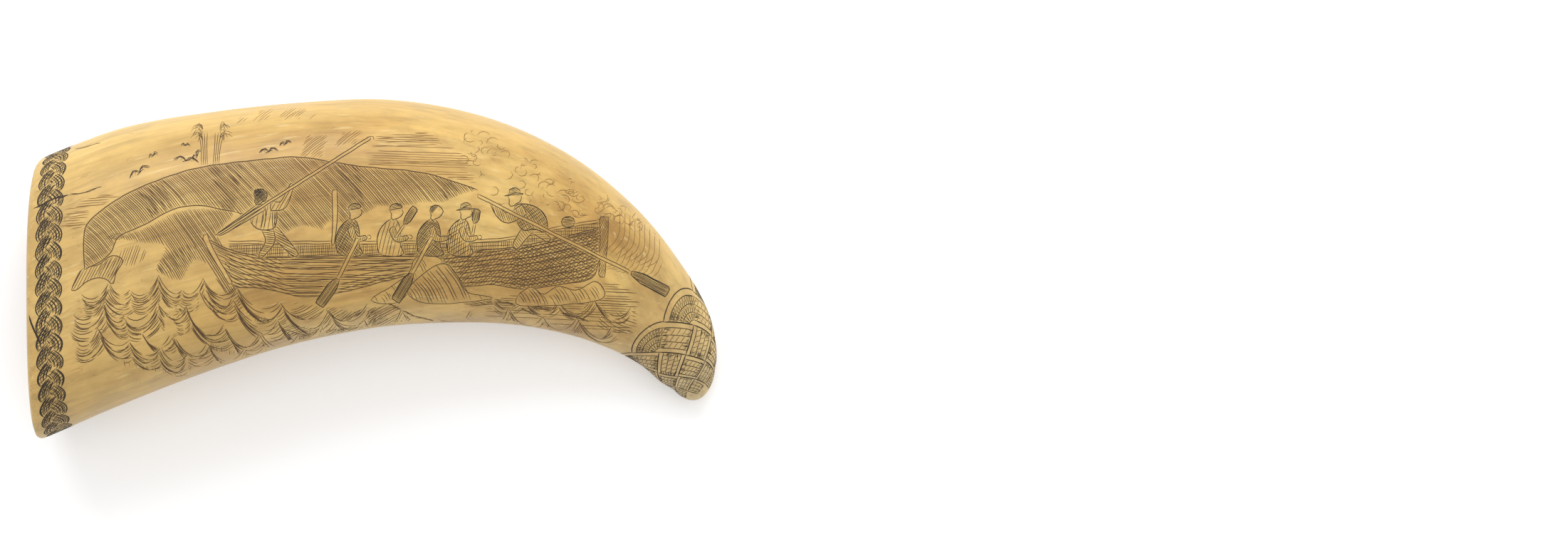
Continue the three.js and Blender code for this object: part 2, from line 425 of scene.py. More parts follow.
def ivory_material():
    shader = Shader("ivory")
    place = shader.place()
    along, across, _ = share_axes(shader)
    clouds = shader.noise(shader.stretched(place, (17, 62, 62)), 1, 3)
    patches = shader.noise(shader.stretched(place, (95, 170, 170)), 1, 5, 0.6)
    grain = shader.noise(shader.stretched(place, (34, 640, 640)), 1, 5, 0.62)
    fibres = shader.noise(shader.stretched(place, (70, 1100, 1100)), 1, 3)
    bands = shader.noise(shader.stretched(place, (9, 190, 190)), 1, 3)
    mottle = shader.noise(place, 150, 5)

    color = shader.ramp(clouds, (0.26, HONEY_DEEP), (0.43, HONEY), (0.64, HONEY_LIGHT))
    stain = shader.ramp(patches, (0.5, (0.0,)), (0.66, (0.55,)))
    color = shader.mix(stain, color, HONEY_DEEP)
    color = shader.mix(shader.ramp(along, (0.02, (0.6,)), (0.3, (0.0,))), color, ROOT_PALE)
    color = shader.mix(shader.ramp(along, (0.62, (0.0,)), (0.95, (0.85,))), color, TIP_PALE)
    # Paler and yellower towards the convex back: partly the ivory's own yellow grain, partly a painted
    # highlight where the back softbox falls.
    color = shader.mix(shader.ramp(across, (0.6, (0.0,)), (0.9, (0.7,))), color, HONEY_LIGHT)
    # Greyer and darker towards the concave edge: painted shade on the side turned away from the back light.
    edge = shader.ramp(shader.math("MULTIPLY", across, -1.0), (0.7, (0.0,)), (0.98, (0.3,)))
    color = shader.mix(edge, color, CONCAVE_SHADE_GREY)
    streaks = shader.ramp(grain, (0.3, (0.78,)), (0.5, (1.0,)), (0.72, (1.08,)))
    color = shader.mix(0.8, color, streaks, "MULTIPLY")
    color = shader.mix(0.5, color, shader.ramp(bands, (0.35, (0.84,)), (0.6, (1.06,))), "MULTIPLY")
    color = shader.mix(0.6, color, shader.ramp(mottle, (0.34, (0.84,)), (0.6, (1.05,))), "MULTIPLY")
    color = shader.mix(shader.ramp(fibres, (0.6, (0.0,)), (0.72, (0.5,))), color, FIBRE_PALE)

    checks = shader.noise(shader.stretched(place, (22, 300, 300)), 1, 2)
    off_middle = shader.math("ABSOLUTE", shader.math("SUBTRACT", checks, 0.5))
    check_line = shader.ramp(off_middle, (0.0, (1.0,)), (0.006, (0.0,)))
    near_root = shader.ramp(along, (0.0, (0.65,)), (0.22, (0.0,)))
    color = shader.mix(shader.math("MULTIPLY", check_line, near_root), color, HONEY_BROWN)
    pits = shader.add("TexVoronoi", "Distance", Vector=place, Scale=150.0)
    pit = shader.ramp(pits, (0.0, (0.7,)), (0.045, (0.0,)))
    rare = shader.ramp(shader.noise(place, 60, 1), (0.58, (0.0,)), (0.64, (1.0,)))
    color = shader.mix(shader.math("MULTIPLY", pit, rare), color, HONEY_BROWN)

    shader.set("Base Color", color)
    shader.set("Roughness", shader.ramp(mottle, (0.3, (0.36,)), (0.7, (0.52,))))
    shader.set("Subsurface Weight", 0.12)
    shader.set("Subsurface Scale", 0.002)
    shader.set("Subsurface Radius", (1.0, 0.6, 0.3))
    height = shader.math("ADD", grain, shader.math("MULTIPLY", mottle, 0.8))
    shader.set("Normal", shader.bump(height, 0.00005, 0.5))
    return shader.material


def sawn_material():
    """The sawn face: a darker outer layer, then paler dentine in fine rings, crossed by saw marks."""
    shader = Shader("sawn_dentine")
    place = shader.place()
    _, _, outward = share_axes(shader)
    wobble = shader.math("MULTIPLY_ADD", shader.noise(place, 180), 0.12)
    layer = shader.math("ADD", outward, wobble)
    rings = shader.add("Math", "Value", {"operation": "SINE"}, i0=shader.math("MULTIPLY", layer, 46.0))
    color = shader.ramp(
        layer,
        (0.0, seen(176, 140, 88)),
        (0.3, seen(226, 200, 150)),
        (0.82, seen(214, 182, 124)),
        (0.86, seen(134, 98, 54)),
        (0.9, seen(196, 158, 98)),
    )
    color = shader.mix(0.35, color, shader.ramp(rings, (0.0, (0.8,)), (0.6, (1.05,))), "MULTIPLY")
    marks = shader.noise(shader.stretched(place, (0, 90, 1500)), 1, 3)
    color = shader.mix(0.4, color, shader.ramp(marks, (0.35, (0.86,)), (0.6, (1.04,))), "MULTIPLY")
    shader.set("Base Color", color)
    shader.set("Roughness", 0.62)
    shader.set("Normal", shader.bump(marks, 0.0001, 0.6))
    return shader.material


def cavity_material():
    shader = Shader("pulp_cavity")
    place = shader.place()
    along, _, _ = share_axes(shader)
    streaks = shader.noise(shader.stretched(place, (30, 350, 350)), 1, 5)
    stops = (0.3, seen(120, 84, 46)), (0.52, seen(168, 128, 78)), (0.7, seen(200, 162, 106))
    color = shader.ramp(streaks, *stops)
    # Darker deeper into the cavity: painted shade in the recess.
    deep = shader.ramp(shader.math("MULTIPLY", along, -1.0), (0.1, (0.0,)), (0.9, (0.75,)))
    color = shader.mix(deep, color, seen(92, 62, 34))
    shader.set("Base Color", color)
    shader.set("Roughness", shader.ramp(streaks, (0.3, (0.85,)), (0.7, (0.65,))))
    shader.set("Normal", shader.bump(streaks, 0.0003, 0.6))
    return shader.material


def ink_material(name, color, roughness):
    shader = Shader(name)
    shader.set("Base Color", (*color, 1))
    shader.set("Roughness", roughness)
    return shader.material


for material in (ivory_material(), sawn_material(), cavity_material()):
    skin.data.materials.append(material)
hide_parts("tooth")
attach(skin, "root")


# ---- the engraver's tools ----

LIFT = 0.03  # how far the wide side of a stroke stands clear of the skin
SINK = 0.07  # how far its lower edge lies under the skin
STEP = 1.1  # longest straight piece of a stroke
TAPER = 1.2  # length over which a stroke's end narrows
POINT_SHARE = 0.35  # share of its width that is left at its end
FINE_STEP = 0.3  # spacing at which a stroke is tested for what lies in front of it
UPPER_EYE = 1070  # height that the upper face is drawn from, which is the camera's
LOWER_EYE = -1000  # and the lower face
LOWER_TILT = math.radians(8.8)  # the ship's horizon is turned this far from the row's X axis
hand = random.Random(1851)


class Face:
    """One side of the tooth as a flat sheet to draw on, carried onto the skin along rays from an eye."""

    def __init__(self, eye, sheet_height, to_row):
        self.eye, self.sheet_height, self.to_row = Vector((0, 0, eye)), sheet_height, to_row

    def at(self, x, y):
        ray = (Vector((*self.to_row(x, y), self.sheet_height)) - self.eye).normalized()
        spot, normal, _, _ = surface.ray_cast(self.eye, ray)
        return None if spot is None or normal.dot(ray) > -0.15 else (spot, normal)


class Wrap:
    """The outside as a sheet wrapped round the tooth: a level along it, and an angle in turns round it."""

    def __init__(self, levels):
        self.levels = levels
        self.rows = np.arange(len(levels))

    def at(self, level, turns):
        column = (turns % 1) * AROUND
        first = int(column) % AROUND
        spot = np.zeros(3)
        for k, share in ((first, 1 - column % 1), ((first + 1) % AROUND, column % 1)):
            row = np.interp(level, self.levels[:, k], self.rows)
            i = min(int(row), len(self.rows) - 2)
            spot += share * (outside_grid[i, k] * (i + 1 - row) + outside_grid[i + 1, k] * (row - i))
        found = surface.find_nearest(Vector(spot))
        return found[0], found[1]


def lower_to_row(x, y):
    cos, sin = math.cos(LOWER_TILT), math.sin(LOWER_TILT)
    return -(cos * x + sin * y), cos * y - sin * x


upper_face = Face(UPPER_EYE, 20, lambda x, y: (x + 0.4, y - 0.2))
lower_face = Face(LOWER_EYE, 24, lower_to_row)


class Ink:
    """A body of engraving: each stroke is a thin closed sliver with its wide side just clear of the skin."""

    def __init__(self, name, material):
        self.name, self.material = name, material
        self.points, self.faces = [], []

    def sliver(self, run, width):
        if len(run) < 2:
            return
        spots = np.array([spot for spot, _ in run])
        normals = np.array([normal for _, normal in run])
        along = np.gradient(spots, axis=0)
        side = np.cross(normals, along)
        side /= np.maximum(np.linalg.norm(side, axis=1), 1e-9)[:, None]
        way = np.concatenate(([0], np.cumsum(np.linalg.norm(np.diff(spots, axis=0), axis=1))))
        to_end = np.minimum(way, way[-1] - way)
        swell = np.clip(to_end / min(TAPER, way[-1] / 2 + 1e-6), 0, 1) ** 0.6
        half = (width / 2 * (POINT_SHARE + (1 - POINT_SHARE) * swell))[:, None]
        above = spots + normals * LIFT
        first = len(self.points)
        rows = np.stack([above + side * half, above - side * half, spots - normals * SINK], axis=1)
        self.points.extend(rows.reshape(-1, 3).tolist())
        for a in range(first, len(self.points) - 3, 3):
            b = a + 3
            self.faces += [(a, a + 1, b + 1, b), (a + 1, a + 2, b + 2, b + 1), (a + 2, a, b, b + 2)]
        last = len(self.points) - 3
        self.faces += [(first, first + 2, first + 1), (last, last + 1, last + 2)]

    def make(self):
        mesh = bpy.data.meshes.new(self.name)
        mesh.from_pydata((np.array(self.points) * MM).tolist(), [], self.faces)
        mesh.materials.append(self.material)
        piece = bpy.data.objects.new(self.name, mesh)
        bpy.context.scene.collection.objects.link(piece)
        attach(piece, "root")
        return piece


def even(path, step):
    """A path with its points at an even spacing, no wider than step."""
    path = np.asarray(path, float)
    way = np.concatenate(([0], np.cumsum(np.linalg.norm(np.diff(path, axis=0), axis=1))))
    count = max(2, math.ceil(way[-1] / step) + 1)
    places = np.linspace(0, way[-1], count)
    return np.stack([np.interp(places, way, path[:, k]) for k in (0, 1)], axis=-1)


def smooth(points, closed=False):
    """A smooth curve through points, by a Catmull-Rom spline."""
    points = np.asarray(points, float)
    if len(points) < 3:
        return points
    if closed:
        ends = np.concatenate([points[-1:], points, points[:2]])
    else:
        ends = np.concatenate([2 * points[:1] - points[1:2], points, 2 * points[-1:] - points[-2:-1]])
    u = np.linspace(0, 1, 7)[:-1, None, None]
    a, b, c, d = ends[:-3], ends[1:-2], ends[2:-1], ends[3:]
    curve = (2 * b + (c - a) * u + (2 * a - 5 * b + 4 * c - d) * u**2 + (3 * b - a - 3 * c + d) * u**3) / 2
    curve = curve.transpose(1, 0, 2).reshape(-1, 2)
    return np.concatenate([curve, curve[:1] if closed else points[-1:]])


def inside(loop, places):
    """Which places lie inside a closed loop."""
    x, y = places[:, 0][:, None], places[:, 1][:, None]
    x0, y0 = loop[:, 0], loop[:, 1]
    x1, y1 = np.roll(x0, -1), np.roll(y0, -1)
    crossed = (y0 <= y) != (y1 <= y)
    with np.errstate(divide="ignore", invalid="ignore"):
        reach = x0 + (y - y0) / (y1 - y0) * (x1 - x0)
    return (crossed & (x < reach)).sum(axis=1) % 2 == 1


class Sheet:
    """Draws on one face in one ink. What comes first lies in front: a cover hides all that comes after it."""

    def __init__(self, face, ink, covers=None):
        self.face, self.ink = face, ink
        self.covers = [] if covers is None else covers

    def with_ink(self, ink):
        return Sheet(self.face, ink, self.covers)

    def cover(self, loop):
        loop = np.asarray(loop, float)
        self.covers.append((loop, loop.min(0), loop.max(0)))

    def line(self, points, width=0.2, curved=True, shake=0.05):
        path = even(smooth(points) if curved else points, FINE_STEP)
        seen = np.ones(len(path), bool)
        low, high = path.min(0), path.max(0)
        for loop, loop_low, loop_high in self.covers:
            if (low <= loop_high).all() and (loop_low <= high).all():
                seen &= ~inside(loop, path)
        edges = np.flatnonzero(np.diff(np.concatenate(([0], seen.astype(int), [0]))))
        phase = hand.uniform(0, TURN)
        for start, end in zip(edges[::2], edges[1::2]):
            if end - start < 2:
                continue
            run = []
            for x, y in even(path[start:end], STEP):
                wave = shake * math.sin(phase + 0.9 * x + 0.7 * y) + hand.gauss(0, shake * 0.35)
                found = self.face.at(x + wave * 0.5, y + wave)
                if found is None:
                    self.ink.sliver(run, width)
                    run = []
                else:
                    run.append(found)
            self.ink.sliver(run, width)

    def outline(self, loop, width=0.2):
        loop = np.asarray(loop, float)
        self.line(np.concatenate([loop, loop[:1]]), width, curved=False)

    def shade(self, loops, slope, pitch, width=0.14, bow=0.0, keep=1.0, ragged=0.25):
        """Hatches closed loops with nearly parallel lines at a slope in degrees, each bowed a little."""
        turn = math.radians(slope)
        axes = np.array([[math.cos(turn), -math.sin(turn)], [math.sin(turn), math.cos(turn)]])
        flat = [np.asarray(loop, float) @ axes for loop in loops]
        sides = np.concatenate([np.concatenate([loop, np.roll(loop, -1, axis=0)], axis=1) for loop in flat])
        level = sides[:, 1].min() + pitch * 0.6
        while level < sides[:, 1].max():
            y = level + hand.uniform(-0.16, 0.16) * pitch
            hit = sides[(sides[:, 1] <= y) != (sides[:, 3] <= y)]
            ends = np.sort(hit[:, 0] + (y - hit[:, 1]) / (hit[:, 3] - hit[:, 1]) * (hit[:, 2] - hit[:, 0]))
            for a, b in zip(ends[::2], ends[1::2]):
                if b - a > 0.5 and hand.random() < keep:
                    a, b = a + hand.uniform(-0.3, 1) * ragged, b + hand.uniform(-1, 0.3) * ragged
                    arch = bow * min(1, (b - a) / 8)
                    row = np.array([(a, y), ((a + b) / 2, y + arch), (b, y)])
                    self.line(row @ axes.T, width * hand.uniform(0.75, 1.2), shake=0.03)
            level += pitch


def ribbon(points, widths):
    """A closed loop round a smooth middle line, with a width at each of its points."""
    line = smooth(points)
    spread = np.interp(np.linspace(0, 1, len(line)), np.linspace(0, 1, len(widths)), widths)
    along = np.gradient(line, axis=0)
    side = np.stack([-along[:, 1], along[:, 0]], axis=-1) / np.linalg.norm(along, axis=1)[:, None]
    return np.concatenate([line + side * spread[:, None] / 2, (line - side * spread[:, None] / 2)[::-1]])


def oval(x, y, across, up, tilt=0.0):
    angles = np.linspace(0, TURN, 22)[:-1]
    turn = math.radians(tilt)
    a, b = across * np.cos(angles), up * np.sin(angles)
    cos, sin = math.cos(turn), math.sin(turn)
    return np.stack([x + a * cos - b * sin, y + a * sin + b * cos], -1)


def moved(points, x, y, size=1.0):
    return np.asarray(points, float) * size + (x, y)


INK_BLACK = srgb(46, 34, 18)
INK_BROWN = srgb(84, 60, 30)
INK_FAINT = srgb(128, 94, 50)
ink_black = ink_material("ink_black", INK_BLACK, 0.75)
ink_brown = ink_material("ink_brown", INK_BROWN, 0.75)
ink_faint = ink_material("ink_faint", INK_FAINT, 0.75)


# ---- the plaited border round the root ----

PLAIT_MIDDLE = 6.2  # distance of its middle line behind the sawn face
PLAIT_SWING = 1.95  # how far a strand's middle swings to each side
STRAND_WIDTH = 2.9
PLAIT_REPEATS = 14  # repeats of the three-strand plait round the tooth
PLAIT_STRANDS = 3


def strand_place(strand, t):
    """Swing to the side and height of a strand, at t repeats round the tooth."""
    phase = TURN * (t + strand / PLAIT_STRANDS)
    return PLAIT_SWING * math.sin(phase), math.sin(2 * phase)


def draw_plait():
    wrap = Wrap(behind_cut(outside_grid - PLAN_SHIFT))
    ink = Ink("root_plait_engraving", ink_black)

    # An even pace round the tooth: the turn reached at each share of the band's length.
    angles = np.linspace(0, 1, 361)
    band = np.array([wrap.at(PLAIT_MIDDLE, angle)[0] for angle in angles])
    way = np.concatenate(([0], np.cumsum(np.linalg.norm(np.diff(band, axis=0), axis=1))))
    repeat = way[-1] / PLAIT_REPEATS

    def place(t, x):
        turns = np.interp((t * repeat) % way[-1], way, angles)
        return wrap.at(PLAIT_MIDDLE + x, turns)

    def visible(strand, t, x):
        height = strand_place(strand, t)[1]
        for other in range(PLAIT_STRANDS):
            middle, other_height = strand_place(other, t)
            if other != strand and other_height > height and abs(x - middle) < STRAND_WIDTH / 2:
                return False
        return True

    def cut(strand, track, width):
        run = []
        for t, x in track:
            if visible(strand, t, x):
                run.append(place(t, x))
            else:
                ink.sliver(run, width)
                run = []
        ink.sliver(run, width)

    steps = np.linspace(0, PLAIT_REPEATS, PLAIT_REPEATS * 22 + 1)
    for strand in range(PLAIT_STRANDS):
        for offset in (-0.5, -0.36, -0.2, -0.06, 0.08, 0.22, 0.36, 0.5):
            wander = hand.uniform(0, 9)
            track = []
            for t in steps:
                drift = 0.05 * math.sin(5 * t + wander) if abs(offset) < 0.5 else 0
                track.append((t, strand_place(strand, t)[0] + (offset + drift) * STRAND_WIDTH))
            cut(strand, track, 0.34 if abs(offset) == 0.5 else 0.2)
        for k in range(PLAIT_REPEATS * 16):
            start = (k + hand.uniform(-0.2, 0.2)) / 16
            track = []
            for share in np.linspace(0, 1, 5):
                t = start + share * 0.09
                track.append((t, strand_place(strand, t)[0] + (0.46 - 0.92 * share) * STRAND_WIDTH))
            cut(strand, track, 0.2)
    return ink.make()


# ---- the woven knot over the tip ----

KNOT_BIGHTS = 6  # bends round the knot's root side
KNOT_ROWS = 6  # rows of squares from the bends to the tip
KNOT_LEVEL = 5.25  # level of the first row after the bends
KNOT_MARGIN = 0.16  # plain edge of a strap, as a share of its width
KNOT_CORDS = 3  # cords in a strap


def knot_levels():
    """For each ring, the sum of steps along the tooth over its radius, so that the squares stay square."""
    spacing = np.linalg.norm(np.diff(outside_grid, axis=0), axis=2).mean(axis=1)
    round_it = np.linalg.norm(np.roll(outside_grid, -1, axis=1) - outside_grid, axis=2).sum(axis=1) / TURN
    steps = spacing * 2 / (round_it[1:] + round_it[:-1])
    return np.concatenate([np.cumsum(steps[::-1])[::-1], [0]])


def draw_knot():
    levels = knot_levels()
    wrap = Wrap(-np.repeat(levels[:, None], AROUND, axis=1))
    ink = Ink("tip_knot_engraving", ink_black)

    def place(a, b):
        """One family of straps lies at whole numbers of a, the other at whole numbers of b."""
        level = KNOT_LEVEL - (b - a - 1) / 2 * TURN / KNOT_BIGHTS
        return wrap.at(-level, 1 / 6 + (a + b) / 2 / KNOT_BIGHTS)

    def cut(track, width):
        track = even(track, 0.12)
        ink.sliver([place(*point) for point in track], width)

    def bend(a, b):
        corner_a, corner_b = a - 0.5, b + 0.5

        def arc(radius, start, end, steps=9):
            turns = np.linspace(start, end, steps) * TURN / 4
            return np.stack([corner_a + radius * np.cos(turns), corner_b - radius * np.sin(turns)], axis=-1)

        cut(arc(1.02, 0, 1), 0.3)
        cut(arc(1 - KNOT_MARGIN, 0, 1), 0.22)
        for cord in range(1, KNOT_CORDS):
            cut(arc(KNOT_MARGIN + (1 - 2 * KNOT_MARGIN) * cord / KNOT_CORDS, 0, 1), 0.2)
        cut(arc(KNOT_MARGIN, 0, 1, 5), 0.2)
        for cord in range(KNOT_CORDS):
            inner = KNOT_MARGIN + (1 - 2 * KNOT_MARGIN) * cord / KNOT_CORDS
            outer = inner + (1 - 2 * KNOT_MARGIN) / KNOT_CORDS
            count = 5 + 4 * cord
            for k in range(count):
                turn = (k + 0.5) / count
                for lean in (0.1, 0.03):
                    ends = arc(inner, turn, turn, 1)[0], arc(outer, turn + lean, turn + lean, 1)[0]
                    cut(ends, 0.13)
        for k in range(26):
            radius, start = hand.uniform(KNOT_MARGIN, 1 - KNOT_MARGIN), hand.choice((0, 0.72))
            cut(arc(radius, start + hand.uniform(0, 0.08), start + hand.uniform(0.16, 0.26), 4), 0.13)

    def square(a, b, row):
        swap = row % 2 == 1  # which family of straps lies on top

        def at(along, across):
            return (a + across, b + along) if swap else (a + along, b + across)

        fine = 1 if row < 3 else 0.75
        for side in (-1, 1):
            cut([at(-0.5, side * 0.5), at(0.5, side * 0.5)], 0.32 * fine)
            cut([at(-0.5, side * (0.5 - KNOT_MARGIN)), at(0.5, side * (0.5 - KNOT_MARGIN))], 0.2 * fine)
        width = (1 - 2 * KNOT_MARGIN) / KNOT_CORDS
        for cord in range(KNOT_CORDS):
            low = -0.5 + KNOT_MARGIN + cord * width
            if cord:
                cut([at(-0.5, low), at(0.5, low)], 0.17 * fine)
            for along in np.arange(-0.46, 0.44, 0.19 if row < 3 else 0.3):
                cut([at(along, low), at(along + 0.11, low + width)], 0.14 * fine)
        for _ in range(24 if row < 3 else 12):
            end = hand.choice((-1, 1))
            across = hand.uniform(-0.5 + KNOT_MARGIN, 0.5 - KNOT_MARGIN)
            reach = hand.uniform(0.12, 0.26)
            inner_end = at(end * (0.49 - reach), across + hand.uniform(-0.06, 0.06))
            cut([at(end * 0.49, across), inner_end], 0.14 * fine)

    for bight in range(KNOT_BIGHTS):
        bend(bight, bight)
        for row in range(KNOT_ROWS - 1):
            square(bight - math.ceil(row / 2), bight + 1 + row // 2, row)
    return ink.make()


# ---- the whale hunt on the upper face ----

# Places are in millimetres from the middle of the face, x towards the tip and y towards the convex back.
WHALE_BACK = [(-77, 0), (-77.2, 8.5), (-75.4, 13), (-67, 19.2), (-56, 24), (-45, 27), (-26, 29.2),
              (-19, 29.2),
              (-5, 27), (12, 25.2), (26, 20.8)]
WHALE_JAW = [(-77, 0), (-73, 2), (-70, 4.6), (-68, 8.6), (-61.5, 11.6), (-54, 15.6), (-47, 16.7), (-37.5, 15)]
LOWER_JAW = [(-77.4, 0.2), (-79.2, -2.4), (-80.4, -5.6), (-78.6, -5), (-76.8, -3.4), (-74, -2.2),
             (-71.4, -2.6),
             (-69.6, -4), (-68.8, -1), (-67, 2.4), (-70, 3.6), (-73.4, 1.2)]
GUNWALE = [(-45.6, 8.4), (-39, 5.2), (-29, 3.2), (-16, 3.4), (-3, 3.8), (16, 4.3), (35, 5.8), (48, 8.4),
           (59.4, 11.4)]
FAR_GUNWALE = [(-39.4, 7.4), (-20, 7.4), (0, 7.4), (20, 7.6), (34, 8.4), (46, 11), (58.6, 13.2)]
KEEL = [(-43.4, 4), (-40.6, -0.6), (-37.6, -4.4), (-30, -5), (-19, -7.2), (-8, -5.6), (2, -3), (10, -1.6),
        (20, -4.4),
        (30, -4), (38, -5.2), (47, -4), (55.6, -2.4), (57.6, 2), (58.6, 7)]
SEAT_HEIGHT = 4
ROWERS = (-7.6, 3.2, 13.6, 21.4)  # places of the four oarsmen along the boat
OARS = (  # hand, water's edge and blade end of the oars that are pulled
    ((-5.4, 8.2), (-10.6, -2.4), (-15.6, -9.4)),
    ((14, 8.6), (8.8, -1), (4.4, -8.2)),
)
LIFTED_OARS = (((4.4, 8.2), (9.6, 16.2)), ((24.6, 8.8), (25.8, 15.8)))


def draw_oar(sheet, points, shaft, blade, dark=True):
    """A shaft, then a blade along its last piece."""
    start, neck, end = (np.array(point) for point in points)
    leaf = ribbon([neck, (neck * 2 + end) / 3, end], [shaft, blade, blade * 0.95])
    pole = ribbon([start, (start + neck) / 2, neck], [shaft, shaft, shaft])
    slope = math.degrees(math.atan2(*(end - neck)[::-1]))
    sheet.outline(leaf, 0.24)
    if dark:
        sheet.shade([leaf], slope, 0.32, 0.17)
    sheet.cover(leaf)
    sheet.outline(pole, 0.17)
    sheet.cover(pole)


def draw_head(sheet, x, y, size, hat=None, dark=False):
    """A plain head in profile, facing the tip of the tooth, with hair or a hat."""
    head = moved([(-1, 0.1), (-0.8, 0.8), (0, 1.05), (0.75, 0.8), (0.95, 0.3), (1.25, -0.1), (0.95, -0.3),
                  (0.95, -0.7), (0.5, -1.05), (0, -1), (-0.1, -1.5), (-0.9, -1.4), (-0.75, -0.6)], x, y, size)
    if hat == "brim":
        crown = moved([(-0.9, 0.35), (-0.75, 1.2), (0.1, 1.5), (0.8, 1.1), (0.95, 0.45)], x, y, size)
        brim = ribbon(moved([(-1.6, 0.1), (0, 0.45), (1.6, 0.4)], x, y, size), [0.15, 0.4, 0.2])
        sheet.outline(brim, 0.18)
        sheet.cover(brim)
        sheet.outline(crown, 0.2)
        sheet.shade([crown], 20, 0.34, 0.15)
        sheet.cover(crown)
    elif hat == "cap":
        crown = moved([(-1.1, 0.2), (-1, 0.9), (-0.2, 1.35), (0.8, 1.1), (1.1, 0.5), (0, 0.4)], x, y, size)
        sheet.outline(crown, 0.2)
        sheet.shade([crown], 160, 0.32, 0.15)
        sheet.cover(crown)
    else:
        hair = moved([(-1.05, 0.1), (-0.9, 0.9), (0, 1.15), (0.6, 0.95), (0.1, 0.5), (-0.3, 0.1),
                      (-0.5, -0.5)],
                     x, y, size)
        sheet.shade([hair], 50, 0.28, 0.16)
        sheet.shade([hair], 130, 0.4, 0.14)
    if dark:
        sheet.shade([head], 35, 0.3, 0.17)
        sheet.shade([head], 125, 0.32, 0.16)
    else:
        sheet.line(moved([(0.45, 0.2), (0.7, 0.2)], x, y, size), 0.15, False)
        sheet.line(moved([(0.6, -0.55), (0.9, -0.55)], x, y, size), 0.14, False)
    sheet.outline(head, 0.2)
    sheet.cover(head)


def draw_limb(sheet, points, widths, slope=None, pitch=0.5, width=0.15):
    limb = ribbon(points, widths)
    sheet.outline(limb, 0.2)
    if slope is not None:
        sheet.shade([limb], slope, pitch, width)
    sheet.cover(limb)


def draw_rower(sheet, x, hat, coat):
    """An oarsman who sits facing the tip and leans to his oar; coat is the slopes of the hatching on it."""
    y = SEAT_HEIGHT
    draw_limb(sheet, [(x + 0.2, y + 7), (x + 1.6, y + 4), (x + 4.6, y + 4.4)], [1.7, 1.6, 1.1], 75, 0.5)
    sheet.outline(oval(x + 5, y + 4.5, 0.7, 0.55), 0.18)
    draw_head(sheet, x + 1.4, y + 11.2, 1.6, hat)
    trunk = moved([(-2.6, -0.2), (-3.6, 3.2), (-3, 6.2), (-1.2, 8.4), (0.6, 9.4), (1.9, 8.4), (2.6, 5.6),
                   (2.4, 2.4),
                   (3.2, -0.2)], x, y)
    trunk = smooth(trunk, closed=True)
    sheet.outline(trunk, 0.22)
    for slope, pitch in coat:
        sheet.shade([trunk], slope, pitch, 0.15, bow=0.2)
    sheet.cover(trunk)


def draw_harpooner(sheet):
    harpoon = [(-42.6, 8.8), (-20, 23.2), (-2, 34.6)]
    draw_limb(sheet, harpoon, [0.5, 0.75, 0.8])
    sheet.line([(-3.2, 34.6), (-1.4, 35), (-1.2, 34)], 0.2, False)
    draw_head(sheet, -31, 19.4, 1.75, dark=True)
    draw_limb(sheet, [(-28.4, 16.6), (-25, 17), (-22.6, 22.4)], [2.6, 2, 1.1], 60, 0.8)
    draw_limb(sheet, [(-30.4, 16.6), (-36, 12.8), (-42, 9)], [2.4, 1.7, 1], 35, 1.1)
    braces = smooth([(-32.6, 15.6), (-31, 17.8), (-27.6, 17.6), (-26.6, 14.6), (-27.4, 10.8), (-31, 10.4),
                     (-33.4, 12.4)],
                    closed=True)
    sheet.outline(braces, 0.22)
    for shift in (0, 0.8, 3, 3.7):
        sheet.line([(-30.6 + shift, 17.6), (-30.2 + shift * 0.8, 14), (-30.8 + shift, 10.8)], 0.18)
    sheet.shade([braces], 80, 1.1, 0.13)
    sheet.cover(braces)
    draw_limb(sheet, [(-29.4, 11.2), (-28.4, 7.4), (-31.2, 3.2)], [3, 2.4, 1.2], -8, 0.55, 0.2)
    draw_limb(sheet, [(-28.4, 11.2), (-24.8, 7.2), (-21.4, 3.6)], [2.8, 2.4, 1.6], -28, 0.55, 0.18)


def draw_steersman(sheet):
    draw_oar(sheet, ((25.8, 19.4), (66, -0.8), (75.8, -6)), 0.8, 2.8)
    draw_limb(sheet, [(38.2, 15.8), (34, 13.4), (31.4, 15), (29.8, 17.6)], [2.8, 2.6, 2, 1.3], -70, 0.5)
    draw_head(sheet, 35.6, 19, 1.7, "brim")
    coat = smooth([(35.6, 16.4), (38, 17.2), (41.4, 16.2), (43.8, 13.6), (44, 9.8), (40.6, 10.6),
                   (38, 10.2), (36, 13)],
                  closed=True)
    sheet.outline(coat, 0.24)
    sheet.shade([coat], -55, 0.5, 0.17, bow=0.3)
    sheet.shade([coat], 35, 0.8, 0.15)
    sheet.cover(coat)
    draw_limb(sheet, [(39.4, 10.8), (37.4, 8.4), (35.6, 5.6)], [3, 2.4, 1.8], -52, 0.6)
    draw_limb(sheet, [(40.4, 10.8), (42.6, 9.2), (44.8, 7.6)], [2.6, 2, 1.4], 0, 0.6)
    bundle = oval(49.6, 12.4, 1.8, 1.5)
    sheet.outline(bundle, 0.2)
    sheet.shade([bundle], 5, 0.4, 0.17)
    sheet.cover(bundle)


